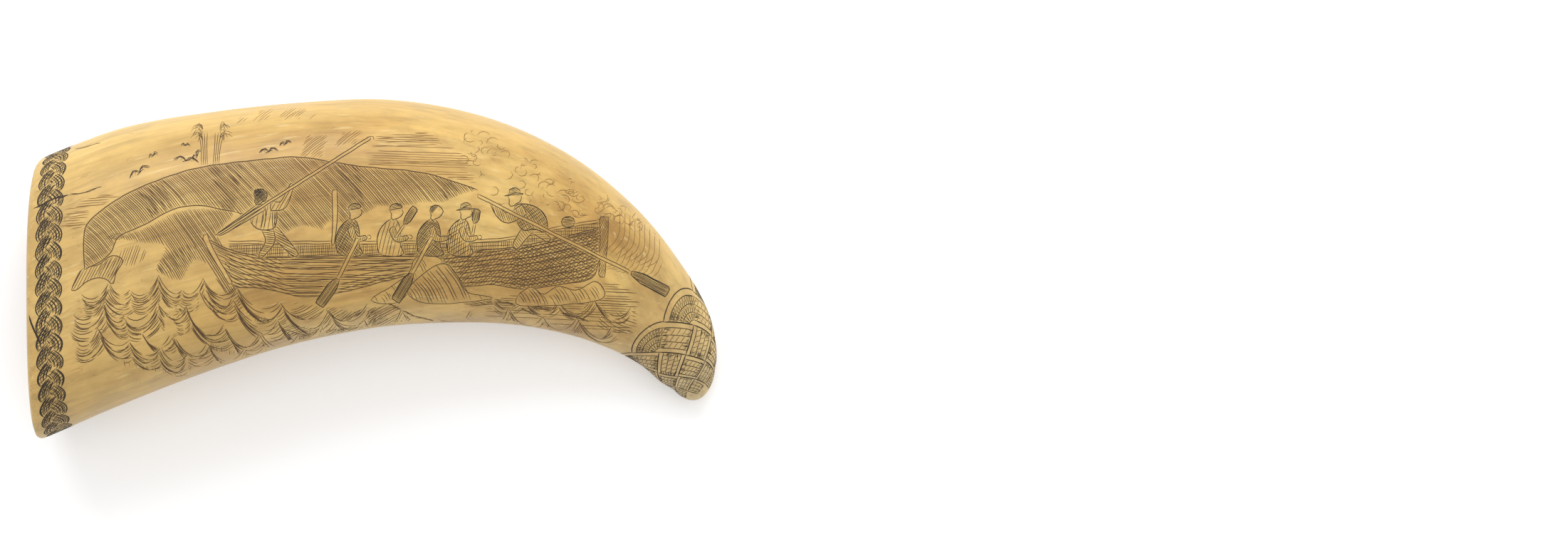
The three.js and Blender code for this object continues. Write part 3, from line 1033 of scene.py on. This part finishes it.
def draw_boat(sheet):
    """The hull over the water, its planks and the shadow inside."""
    gunwale, keel = smooth(GUNWALE), smooth(KEEL)
    hull = np.concatenate([gunwale, keel[::-1]])
    stem = ribbon([(-45.6, 9), (-43.6, 4.6), (-38.6, -4)], [1.5, 1.3, 1])
    sternpost = ribbon([(59, 13.8), (59, 8), (58.4, -2)], [2.4, 2, 1.6])
    sheet.outline(stem, 0.22)
    sheet.cover(stem)
    sheet.outline(sternpost, 0.22)
    sheet.shade([sternpost], 70, 0.4, 0.18)
    sheet.cover(sternpost)
    for drop in (0, 0.55, 1.5):
        sheet.line(gunwale - (0, drop), 0.26 if drop == 0 else 0.2, False)
    bottom = np.interp(np.linspace(-42, 58, 60), keel[:, 0], keel[:, 1])
    top = np.interp(np.linspace(-42, 58, 60), gunwale[:, 0], gunwale[:, 1])
    for share in (0.3, 0.44, 0.6, 0.76, 0.9):
        plank = np.stack([np.linspace(-42, 58, 60), top + (bottom - top) * share], axis=-1)
        sheet.line(plank[1:-1] + (0, hand.uniform(-0.1, 0.1)), 0.22, False, shake=0.08)
    fore = hull[hull[:, 0] < -24]
    sheet.shade([fore], -24, 0.75, 0.17, bow=-0.3)
    middle = hull[(hull[:, 0] > -26) & (hull[:, 0] < 11)]
    sheet.shade([middle], -1, 0.62, 0.17, keep=0.85)
    aft = hull[hull[:, 0] > 9]
    sheet.shade([aft], 46, 0.68, 0.16)
    sheet.shade([aft], 12, 0.8, 0.15, bow=-0.2)
    sheet.shade([hull[hull[:, 0] > 33]], -28, 0.75, 0.15)
    sheet.line(keel, 0.22, False)
    sheet.cover(hull)

    # inside the boat, between its two edges
    well = np.concatenate([gunwale[gunwale[:, 0] > -40], smooth(FAR_GUNWALE)[::-1]])
    for drop in (0, 0.7):
        sheet.line(np.array(FAR_GUNWALE) - (0, drop), 0.18)
    shadow = well * (1, 1) - (0, 0.7)
    sheet.shade([shadow], 86, 0.5, 0.17, keep=0.92)
    sheet.shade([shadow], 2, 0.8, 0.16)
    sheet.cover(well)


def draw_whale(sheet):
    back, jaw = smooth(WHALE_BACK), smooth(WHALE_JAW)
    ragged = [(-37.5, 15), (-31, 11.4), (-27.8, 12.6), (-24.4, 9.4), (-20, 11.6), (-14.8, 10.4),
              (-12.6, 12.8),
              (-8.8, 12), (-3.4, 14.6), (0.4, 16.8), (5.6, 16.4), (11.8, 17.6), (16.8, 17.4), (21, 19.4)]
    body = np.concatenate([back, np.array(ragged)[::-1], jaw[::-1]])
    sheet.line(back, 0.26, False)
    sheet.line(jaw, 0.24, False)
    sheet.line([(-37.6, 15), (-34, 14.4), (-31, 14.8)], 0.2)
    sheet.shade([body], -47, 0.48, 0.2, bow=0.35)
    for foot, reach in ((-60, 7), (-40, 9), (-21, 6), (-9, 8), (9, 7), (19, 5)):
        low = np.array([(foot, 12), (foot + reach, 15), (foot + reach - 4, 30), (foot - 8, 30)])
        shadow = [point for point in body if inside(low, np.array([point]))[0]]
        if len(shadow) > 5:
            sheet.shade([np.array(shadow)], -47, 0.62, 0.14)
    sheet.shade([oval(-68.6, 8.6, 2.2, 1)], -20, 0.4, 0.14)
    lip = [(-69, 8.4), (-62, 7), (-56, 6), (-58, 0), (-52, -2.8), (-48.6, 2), (-44.6, 1), (-41, -5.4),
           (-38.6, -6.4), (-36.4, -3),
           (-39, 3), (-42, 9), (-38, 14.6), (-46, 16), (-54, 14.6), (-61.5, 10.8)]
    sheet.shade([smooth(lip, closed=True)], -56, 0.5, 0.2, bow=0.3)
    sheet.shade([oval(-53, 2.6, 6, 2.6, 30)], -54, 0.7, 0.15)
    sheet.cover(np.concatenate([back, [(26, 14), (-40, 8), (-60, 6)], jaw[::-1]]))
    jaw_loop = smooth(LOWER_JAW, closed=True)
    sheet.outline(jaw_loop, 0.22)
    sheet.shade([jaw_loop], 62, 0.62, 0.16)
    sheet.shade([oval(-70, 0.6, 4, 2.4, 38)], 66, 0.7, 0.14, keep=0.7)
    sheet.shade([oval(-64.6, 3.6, 4, 2.6, 20)], 70, 0.6, 0.14, keep=0.8)


def draw_spouts(sheet):
    for x, lean, spread in ((-45.6, -0.4, -1), (-42.6, 1, 1)):
        for k in range(4):
            start = x + (k - 1.5) * 0.5
            top = (start + lean + (k - 1.5) * 0.3, 35.8)
            sheet.line([(start, 27.4), (start + lean * 0.4, 32), top], 0.16)
        for k in range(12):
            reach, height = hand.uniform(1, 3.4), hand.uniform(34.6, 38.6)
            sheet.line([(x + lean, height - 1), (x + lean + spread * reach * 0.5, height + 0.5),
                        (x + lean + spread * reach, height - hand.uniform(0.2, 1.6))], 0.14)


def draw_bird(sheet, x, y, span, tilt, size=1.0):
    """A sea bird on the wing: two bent wings, a body and a few feather strokes."""
    turn = np.array([[math.cos(tilt), math.sin(tilt)], [-math.sin(tilt), math.cos(tilt)]])

    def place(points):
        return np.array(points) * size @ turn + (x, y)

    for side in (-1, 1):
        wing = place([(0, 0), (side * span * 0.22, 0.9), (side * span * 0.5, -0.1)])
        sheet.line(wing, 0.26)
        sheet.line(wing - (0, 0.3), 0.2)
        for share in (0.3, 0.6):
            start, end = side * span * share * 0.5, side * span * (share * 0.5 + 0.08)
            sheet.line(place([(start, 0.5), (end, -0.3)]), 0.14, False)
    sheet.line(place([(-0.9, -0.5), (0.2, -0.1), (1, 0.1)]), 0.3)


def draw_sky(sheet, faint):
    birds = ((-62.6, 25.6, 5.4, 0.5, 1.1), (-50.4, 28.6, 6, -0.1, 1.1), (-47.6, 30, 3.6, 0.9, 0.9),
             (-59, 30, 3.6, 0.4, 0.7), (-50.6, 32.6, 4, 0, 0.6), (-28.8, 31, 5, 0.1, 1),
             (-24.4, 33, 4, 0.3, 0.8))
    for bird in birds:
        draw_bird(sheet, *bird)
    for x0, x1, y0, y1 in ((-37.8, -33.8, 38.2, 40), (-32.8, -27.2, 38.8, 42), (-26.4, -18.8, 39.2, 42),
                           (-18.6, -15.8, 39.2, 40.8), (-21, -13, 29.4, 35), (-11.4, -4, 32.4, 36.4)):
        patch = [(x0, y0), (x1 - 2, y0), (x1, y1), (x0 + 2, y1)]
        faint.shade([patch], 38, 0.5, 0.16, bow=0.2, ragged=1.2)
    for loop, slope in (([(-4, 27.6), (10, 26), (25, 22.4), (25, 29), (12, 36), (0, 35)], -2),
                        ([(-83, 11), (-78, 10), (-75.4, 14.4), (-68, 19.4), (-74, 19.6), (-82, 16)], 4)):
        faint.shade([loop], slope, 0.62, 0.16, keep=0.75, ragged=2.2)
        faint.shade([loop], slope + 4, 1.1, 0.16, keep=0.6, ragged=3)


def draw_spray(sheet):
    """Loose curls and ticks over the stern."""
    for k in range(130):
        x = hand.uniform(22, 76)
        y = hand.uniform(max(9, 20 - (x - 22) * 0.2), 38 - (x - 22) * 0.52)
        size, turn = hand.uniform(0.5, 1.7), hand.uniform(0, TURN)
        turns = [turn + 0.9 * n for n in range(hand.choice((3, 4, 5)))]
        sheet.line([(x + size * math.cos(angle), y + size * 0.8 * math.sin(angle)) for angle in turns], 0.17)
    for k in range(9):
        x = 60 + k * 1.3
        sheet.line([(x + 3.2, 15.4 - k * 0.7), (x + 2.8, 9 - k * 0.8), (x - 0.6, 4.6 - k * 0.5)], 0.16)
        sheet.line([(x + 4, 6 - k * 0.5), (x + 2, 1.6 - k * 0.4), (x - 1.6, 0.4 - k * 0.3)], 0.15)


def draw_swell(sheet, peaks, depth, pitch=0.62, lean=0.0):
    """A row of peaked waves: curves that hang from peak to peak, one below the other, and hide all behind."""
    peaks = np.array(peaks, float)
    rows = int(depth / pitch)
    rim = []
    wander = np.zeros(len(peaks))
    for k in range(rows):
        wander = wander + [hand.uniform(-0.45, 0.45) for _ in peaks]
        tops = peaks + (wander * min(k, 1))[:, None] * (1, 0)
        for left, right in zip(tops[:-1], tops[1:]):
            across = right[0] - left[0]
            drop = np.array((lean * k * pitch, -k * pitch))
            hang = across * (0.46 - 0.2 * k / rows) * hand.uniform(0.7, 1.2)
            shares = np.array((0, 0.14, 0.32, 0.52, 0.72, 0.87, 1))
            sag = hang * np.sin(math.pi * shares) ** 0.75
            curve = left + (right - left) * shares[:, None] + drop - sag[:, None] * (0, 1)
            if k == 0:
                rim.extend(curve)
            curve = smooth(curve)
            lift, resume = sorted((hand.uniform(0.36, 0.7), hand.uniform(0.4, 0.74)))
            count = len(curve)
            for start, end in ((hand.uniform(0, 0.08), lift), (resume, hand.uniform(0.9, 1))):
                sheet.line(curve[int(start * count) : int(end * count) + 2], hand.uniform(0.15, 0.23), False)
    low = [peaks[-1] - (0, depth), *(peaks[::-1] - (0, depth)), peaks[0] - (0, depth)]
    sheet.cover(np.array(rim + low))


def draw_crest(sheet, points, height, slope):
    """A breaking crest: an edge with short hatching that hangs from it."""
    edge = smooth(points)
    sheet.line(edge, 0.18, False)
    for x, y in even(edge, 0.5):
        reach = height * hand.uniform(0.6, 1.1)
        turn = math.radians(slope + hand.uniform(-8, 8))
        sheet.line([(x, y), (x + reach * 0.6 * math.cos(turn), y + reach * 0.45 * math.sin(turn)),
                    (x + reach * math.cos(turn + 0.3), y + reach * math.sin(turn + 0.3))], 0.15)


def draw_sea(sheet):
    # surf against the hull, which hides the keel
    surf = ([(7.6, -6), (12.4, -0.6), (17.4, 1.6), (20.6, -1.6), (23.4, -6), (30, -7.6), (14, -9)],
            [(36.4, -7), (40, -4.6), (43, -6.6), (47, -4.4), (52, -5.4), (57, -3), (58, -8), (38, -9.6)],
            [(-2, -8), (3.4, -4.4), (8, -0.8), (9.6, 3), (14.6, 3.4), (16.6, 1.8), (11.6, -1.6), (5, -8.6)])
    for crest in surf:
        loop = smooth(crest, closed=True)
        sheet.outline(loop, 0.17)
        sheet.shade([loop], -58, 0.75, 0.15, keep=0.7, bow=0.5, ragged=1.4)
        sheet.cover(loop)


def draw_waves(sheet):
    swells = (  # from the front to the back: the peaks of each row, how deep it reaches, and its lean
        ([(-79, -19), (-73.6, -15.4), (-65.4, -18.6), (-57, -20.4), (-50, -22)], 5.6, 0.1),
        ([(-62, -16.4), (-54.6, -17), (-45, -19.4), (-35, -20.4)], 4.8, 0.5),
        ([(-56, -11.4), (-50.4, -9.6), (-40.6, -14.4), (-31, -16.4), (-21, -17)], 6.2, 0.4),
        ([(-80, -11.6), (-72.4, -8.4), (-66.4, -12), (-58, -8.6), (-52, -11)], 7, 0.1),
        ([(-47, -5.4), (-38.4, -7.6), (-27, -12.4), (-15, -14.6), (-2, -14)], 5.6, 0.6),
        ([(-4, -13), (6, -10.4), (15, -12.4), (24, -10.8)], 3.8, 0.5),
        ([(24, -11.6), (34, -10), (43, -12.4), (52, -12.6), (61, -15)], 4, 0.5),
        ([(-78, -6.4), (-70.6, -3.4), (-65.2, -5.4), (-57.6, -1.6), (-51.4, -5.4), (-46, -2.4)], 6.4, 0),
        ([(-46, -2.4), (-37.4, -4.2), (-26, -8.4), (-14, -10.2), (-3, -9)], 5.6, 0.5),
        ([(30, -7.6), (38, -6.6), (47, -8), (56, -7), (66, -10)], 3.4, 0.4),
    )
    for peaks, depth, lean in swells:
        draw_swell(sheet, peaks, depth, lean=lean)
    crests = (([(-34, -9), (-27, -14.6), (-18, -17.4), (-8, -17.6)], 2.6, 215), ([(-44, -18), (-32, -22),
                                                                                  (-20, -21)], 2.4, 235),
              ([(-66, -22.6), (-58, -24), (-49, -25.4)], 2.6, 240), ([(-26, -10.6), (-14, -14.6),
                                                                      (-4, -14.4)], 2.8, 205),
              ([(3.6, -9.4), (12, -13), (24, -14.6)], 2.4, 150), ([(38, -9.8), (46, -11),
                                                                   (55, -13.6)], 2.2, 140),
              ([(24, -9.6), (34, -9), (41, -12)], 2.2, 140))
    for points, height, slope in crests:
        draw_crest(sheet, points, height, slope)
    sheet.shade([[(-22, -8.4), (-6, -10.6), (4, -9), (8, -12), (-2, -18), (-14, -20),
                  (-26, -18)]], 24, 0.55, 0.18, bow=-0.6,
                keep=0.85, ragged=1.4)
    sheet.shade([[(-14, -12), (0, -9.6), (3, -13), (-10, -18.4)]], 32, 0.42, 0.17, bow=-0.5, ragged=1)
    sheet.shade([[(28, -7.6), (62, -3.4), (68, -7), (66, -17), (52, -15.6), (38, -13),
                  (26, -12.6)]], -3, 0.62, 0.16,
                keep=0.8, ragged=2.6)
    sheet.shade([[(58, -12), (68, -10), (67, -17.4),
                  (56, -15)]], -28, 0.8, 0.15, bow=-0.7, keep=0.8, ragged=1.2)
    sheet.shade([[(-80, -8), (-66, -6), (-62, -20), (-76, -22)]], 12, 0.9, 0.13, bow=-0.6, keep=0.5, ragged=2)


def draw_hunt():
    black = Ink("whale_hunt_engraving", ink_black)
    brown = Ink("whale_hunt_shading", ink_brown)
    faint = Ink("whale_hunt_sky_engraving", ink_faint)
    sheet = Sheet(upper_face, black)
    shading, sky = sheet.with_ink(brown), sheet.with_ink(faint)
    draw_harpooner(sheet)
    draw_steersman(sheet)
    draw_limb(sheet, [(-11.6, 20.8), (-11.4, 14), (-12, 6.2)], [1.4, 1.3, 0.7])
    for oar in OARS:
        draw_oar(sheet, oar, 0.9, 2.7)
    for (x0, y0), (x1, y1) in LIFTED_OARS:
        draw_oar(sheet, ((x0, y0), (x0 * 0.55 + x1 * 0.45, y0 * 0.55 + y1 * 0.45), (x1, y1)), 0.6, 1.9)
    coats = (((60, 0.42), (-40, 0.6)), ((75, 1),), ((-35, 0.42), (50, 0.5)), ((82, 0.6), (30, 1)))
    for place, hat, coat in zip(ROWERS, ("cap", "cap", None, "brim"), coats):
        draw_rower(sheet, place, hat, coat)
    draw_sea(sheet)
    draw_boat(shading)
    draw_whale(shading)
    draw_spouts(shading)
    draw_sky(sheet, sky)
    draw_spray(sky)
    draw_waves(shading)
    return [ink.make() for ink in (black, brown, faint)]


# ---- the ship on the lower face ----

# Places are in millimetres from the middle of the face, seen from below with the root at the right.
MASTS = ((0.6, -1.2, 47.6), (25.6, 0.4, 50), (46.8, -0.6, 42.6))  # foot, lean and top of the three masts
DECK = [(-22, 4.4), (-6, 1.6), (14, 0.8), (34, 1.2), (50, 3), (62.6, 6.2)]
WATER_LINE = [(-19.4, -4.6), (0, -6.2), (30, -6.4), (58.6, -4.6)]
SAILS = (  # left and right of the foot, left and right of the head, foot and head heights
    (-11.2, 12.2, -9.2, 11.4, 16.6, 26.4), (-8.8, 11, -6.4, 9.8, 27, 36.8), (-5, 9.4, -3, 8, 37.4, 44.8),
    (14.8, 39.8, 17, 38.6, 15.8, 26), (17.4, 38.2, 19.8, 36.6, 26.6, 37),
    (20.4, 36.2, 22.4, 34.4, 37.6, 46.8),
    (39.4, 57.6, 40.6, 56.4, 13.8, 22), (41, 56, 42.4, 54.4, 22.6, 30.2), (43, 54, 44.4, 52.4, 30.8, 39),
)
JIBS = (((-47, 12.6), (-12.6, 38), (-24, 9.6)), ((-39.6, 9.8), (-9.6, 31), (-17.6, 8.2)), ((-31, 7.2),
                                                                                           (-6.6, 24),
                                                                                           (-11.4, 6.6)))


def draw_sail(sheet, left, right, head_left, head_right, foot, head):
    """A square sail that bellies: its foot and sides curve, with seams and a shaded edge."""
    low = smooth([(left, foot), ((left + right) / 2, foot + 1.5), (right, foot)])
    high = smooth([(head_left, head), ((head_left + head_right) / 2, head + 0.2), (head_right, head)])
    rim = np.concatenate([low, high[::-1]])
    sheet.outline(rim, 0.22)
    for share in np.linspace(0, 1, 9)[1:-1]:
        bottom, top = low[int(share * (len(low) - 1))], high[int(share * (len(high) - 1))]
        sheet.line([bottom, (bottom + top) / 2 + (0.5 * (share - 0.5), 0), top], 0.15)
    for drop in (0.28, 0.62):
        rise = np.interp(np.arange(len(low)), np.arange(len(high)), high[:, 1])[:, None]
        sheet.line(low * (1 - drop) + rise * (0, drop) + low * (drop, 0), 0.14, False)
    side = np.array([(right, foot), (head_right, head), (head_right - 3, head), (right - 4.4, foot + 1)])
    sheet.shade([side], 24, 0.55, 0.16)
    far_side = np.array([(left, foot), (left + 2, foot), (head_left + 1.4, head), (head_left, head)])
    sheet.shade([far_side], 64, 0.8, 0.14)
    sheet.cover(rim)
    sheet.line([(head_left - 1, head + 0.4), (head_right + 1, head + 0.4)], 0.32, False)


def draw_ship():
    black = Ink("ship_engraving", ink_black)
    brown = Ink("ship_shading", ink_brown)
    sheet = Sheet(lower_face, black)
    shading = sheet.with_ink(brown)
    boat_edge = smooth([(-50.6, -12.4), (-42, -15.4), (-30, -16), (-21, -14), (-15.4, -10.6)])
    boat_keel = smooth([(-49, -15.6), (-42, -20.2), (-30, -21.4), (-20, -18.6), (-16.4, -12.6)])
    for x in (-44, -38.4, -32.8, -27, -21.6):
        top = float(np.interp(x, boat_edge[:, 0], boat_edge[:, 1]))
        draw_head(sheet, x, top + 5.2, 0.9, "cap" if x < -30 else None)
        trunk = moved([(-1.5, 0), (-1.7, 2.4), (-0.4, 4.2), (1, 3.8), (1.6, 1.6), (1.5, 0)], x, top)
        trunk = smooth(trunk, closed=True)
        sheet.outline(trunk, 0.18)
        sheet.shade([trunk], 60, 0.42, 0.15)
        sheet.cover(trunk)
        draw_oar(sheet, ((x + 1, top + 1.4), (x - 2.6, top - 5), (x - 4.6, top - 8.4)), 0.4, 1.1)
    small_boat = np.concatenate([boat_edge, boat_keel[::-1]])
    sheet.outline(small_boat, 0.22)
    sheet.shade([small_boat], -8, 0.5, 0.17)
    sheet.shade([small_boat], 52, 0.8, 0.15)
    sheet.cover(small_boat)

    for sail in SAILS:
        draw_sail(sheet, *sail)
    for corners in JIBS:
        tack, head, clew = (np.array(corner) for corner in corners)
        sides = (tack, (0.6, -0.8), head), (head, (-1.2, -0.6), clew), (clew, (0, 0.8), tack)
        rim = np.concatenate([smooth([start, (start + end) / 2 + bow, end]) for start, bow, end in sides])
        sheet.outline(rim, 0.2)
        sheet.shade([rim], 50, 0.85, 0.14, bow=0.4)
        sheet.cover(rim)
    for x0, x1, y in ((-10, 12, 13.8), (15, 40, 13.2), (40, 57, 11.4)):
        for k in range(6):
            a, b = x0 + (x1 - x0) * k / 6, x0 + (x1 - x0) * (k + 1) / 6
            sheet.line([(a, y), ((a + b) / 2, y - 2.2), (b, y)], 0.2)
            sheet.line([(a, y - 0.2), ((a + b) / 2, y - 1.2), (b, y - 0.2)], 0.15)
        sheet.line([(x0 - 1, y + 0.6), (x1 + 1, y + 0.6)], 0.34, False)

    deck, water = smooth(DECK), smooth(WATER_LINE)
    hull = np.concatenate([deck, water[::-1]])
    for x in np.arange(-12, 58, 5.6):
        port = moved([(-0.8, -0.6), (0.8, -0.6), (0.8, 0.6), (-0.8, 0.6)], x, -2.2)
        sheet.outline(port, 0.18)
        sheet.shade([port], 0, 0.28, 0.2)
        sheet.cover(port)
    for drop in (0, 0.7, 1.9, 3.2):
        sheet.line(deck - (0, drop), 0.2, False)
    sheet.outline(hull, 0.24)
    sheet.shade([hull[hull[:, 1] < 1.5]], 3, 0.5, 0.17)
    sheet.shade([hull], 58, 0.85, 0.15)
    sheet.cover(hull)
    for foot, lean, top in MASTS:
        mast = ribbon([(foot, 1), (foot + lean, top)], [1.1, 0.5])
        sheet.outline(mast, 0.2)
        sheet.cover(mast)
        for side in (-1, 1):
            for k in range(4):
                crosstree = (foot + lean * 0.5 + side * 0.8, top * 0.52)
                sheet.line([(foot + side * (2.4 + 1.7 * k), 2), crosstree], 0.15, False)
                sheet.line([(foot + side * (7 + 2 * k), 3), (foot + lean * 0.9, top * 0.9)], 0.12, False)
        for k in range(9):
            rise = 3 + k * 2
            reach = 7.6 * (1 - rise / (top * 0.52))
            for side in (-1, 1):
                sheet.line([(foot + side * 1.6, rise), (foot + side * max(1.8, reach), rise)], 0.12, False)
    sheet.outline(ribbon([(-20, 4.4), (-47, 11.6)], [1.4, 0.5]), 0.2)
    for (foot, lean, top), end in zip(MASTS[:1] * 3, (-47, -40, -32)):
        sheet.line([(end, 12.6 + (end + 47) * -0.24), (foot + lean, top - (end + 47) * 0.6)], 0.14, False)
    flag = smooth([(57.4, 19.4), (60, 18.2), (62.6, 19), (62.2, 11), (60, 9.6), (57.4, 10.6)], closed=True)
    sheet.outline(flag, 0.2)
    sheet.shade([flag], 4, 0.8, 0.3)
    sheet.line([(57.2, 20.6), (57.4, 5)], 0.22, False)

    shading.shade([[(-66, -3), (-20, -5), (62, -5), (64, -12), (40, -17), (0, -16), (-14, -12), (-52, -9),
                    (-66, -12)]], 2, 0.6, 0.16,
                  keep=0.8, ragged=3)
    draw_swell(shading, [(-62, -9), (-55, -8), (-47, -9.4)], 4.4)
    draw_swell(shading, [(-14, -9), (-6, -8.6), (3, -10), (12, -9.6), (22, -10.6), (32, -10)], 5)
    draw_swell(shading, [(32, -10), (41, -9.6), (50, -10), (59, -9)], 4.6)
    shading.shade([oval(-58, -2, 8, 7)], 18, 0.7, 0.13, keep=0.6, ragged=2)
    for x, y in ((26, 11.8), (30.6, 11.8)):
        sheet.shade([oval(x, y, 0.5, 0.5)], 0, 0.2, 0.24)
    return [ink.make() for ink in (black, brown)]


# ---- cracks that age has opened ----

CRACKS = (
    (upper_face, [(-90.4, 15.8), (-88, 17), (-84.6, 18.6), (-81.4, 19.4)], 0.34),
    (upper_face, [(-81, 19.6), (-78, 19.8), (-75.6, 20.6), (-72.6, 21.6)], 0.2),
    (upper_face, [(-91.6, -12.2), (-90.8, -14.6), (-89.4, -17.6), (-88.6, -19.4)], 0.5),
    (upper_face, [(-79.6, 31.4), (-77, 32), (-73, 33)], 0.16),
    (lower_face, [(60.8, 41.8), (69.6, 38.4), (77.8, 36.2), (88.4, 31.2)], 0.26),
)


def draw_cracks():
    ink = Ink("age_cracks", ink_black)
    for face, track, width in CRACKS:
        for shift, share in ((0, 1), (0.16, 0.5)):
            Sheet(face, ink).line(np.array(track) + (shift, shift), width * share, shake=0.12)
    return ink.make()


engraving = [draw_plait(), draw_knot(), *draw_hunt(), *draw_ship(), draw_cracks()]


# ---- floor, light and camera ----

EYE_HEIGHT = 1070  # of the camera above the table
DRAWING_HEIGHT = 20  # of the plane on which the pictures are laid out, above the table
PICTURE = (2202, 776)  # the picture's size, which its framing is worked out from
TOOTH_SPAN = 0.438  # share of the picture's width that the tooth's length takes, at the drawing plane
TOOTH_MIDDLE = (0.2405, 0.4858)  # place of the tooth's middle in the picture, from its left and its top
SENSOR = 36


def make_camera():
    data = bpy.data.cameras.new("camera")
    camera = bpy.data.objects.new("camera", data)
    bpy.context.scene.collection.objects.link(camera)
    camera.location = (0, 0, EYE_HEIGHT * MM)
    length = cad_high[0] - cad_low[0]
    data.sensor_width = SENSOR
    data.lens = SENSOR * TOOTH_SPAN * (EYE_HEIGHT - DRAWING_HEIGHT) / length
    data.shift_x = 0.5 - TOOTH_MIDDLE[0]
    data.shift_y = (TOOTH_MIDDLE[1] - 0.5) * PICTURE[1] / PICTURE[0]
    data.clip_start, data.clip_end = 0.01, 20
    bpy.context.scene.camera = camera


def make_floor():
    mesh = bpy.data.meshes.new("table")
    reach = 3.0
    corners = [(-reach, -reach, 0), (reach, -reach, 0), (reach, reach, 0), (-reach, reach, 0)]
    mesh.from_pydata(corners, [], [(0, 1, 2, 3)])
    shader = Shader("white_table")
    shader.set("Base Color", (0.9, 0.9, 0.905, 1))
    shader.set("Roughness", 0.7)
    shader.set("Specular IOR Level", 0.2)
    shader.set("Emission Color", (1, 1, 1, 1))
    shader.set("Emission Strength", 0.17)
    mesh.materials.append(shader.material)
    table = bpy.data.objects.new("table", mesh)
    bpy.context.scene.collection.objects.link(table)


def make_area_light(name, place, size, power, color=(1, 1, 1)):
    """A square softbox that faces the tooth."""
    data = bpy.data.lights.new(name, "AREA")
    data.shape = "RECTANGLE"
    data.size, data.size_y = size
    data.energy = power
    data.color = color
    light = bpy.data.objects.new(name, data)
    light.location = place
    light.rotation_euler = (-Vector(place)).to_track_quat("-Z", "Y").to_euler()
    bpy.context.scene.collection.objects.link(light)


def make_light():
    scene = bpy.context.scene
    scene.view_settings.view_transform = "Standard"
    world = bpy.data.worlds.new("world")
    world.use_nodes = True
    world.node_tree.nodes["Background"].inputs["Color"].default_value = (1, 1, 1, 1)
    world.node_tree.nodes["Background"].inputs["Strength"].default_value = 0.75
    scene.world = world
    make_area_light("softbox_back", (-0.1, 0.85, 0.75), (1.1, 0.6), 8)
    make_area_light("softbox_top", (0.1, 0.2, 1.3), (0.9, 0.9), 3)


make_camera()
make_floor()
make_light()
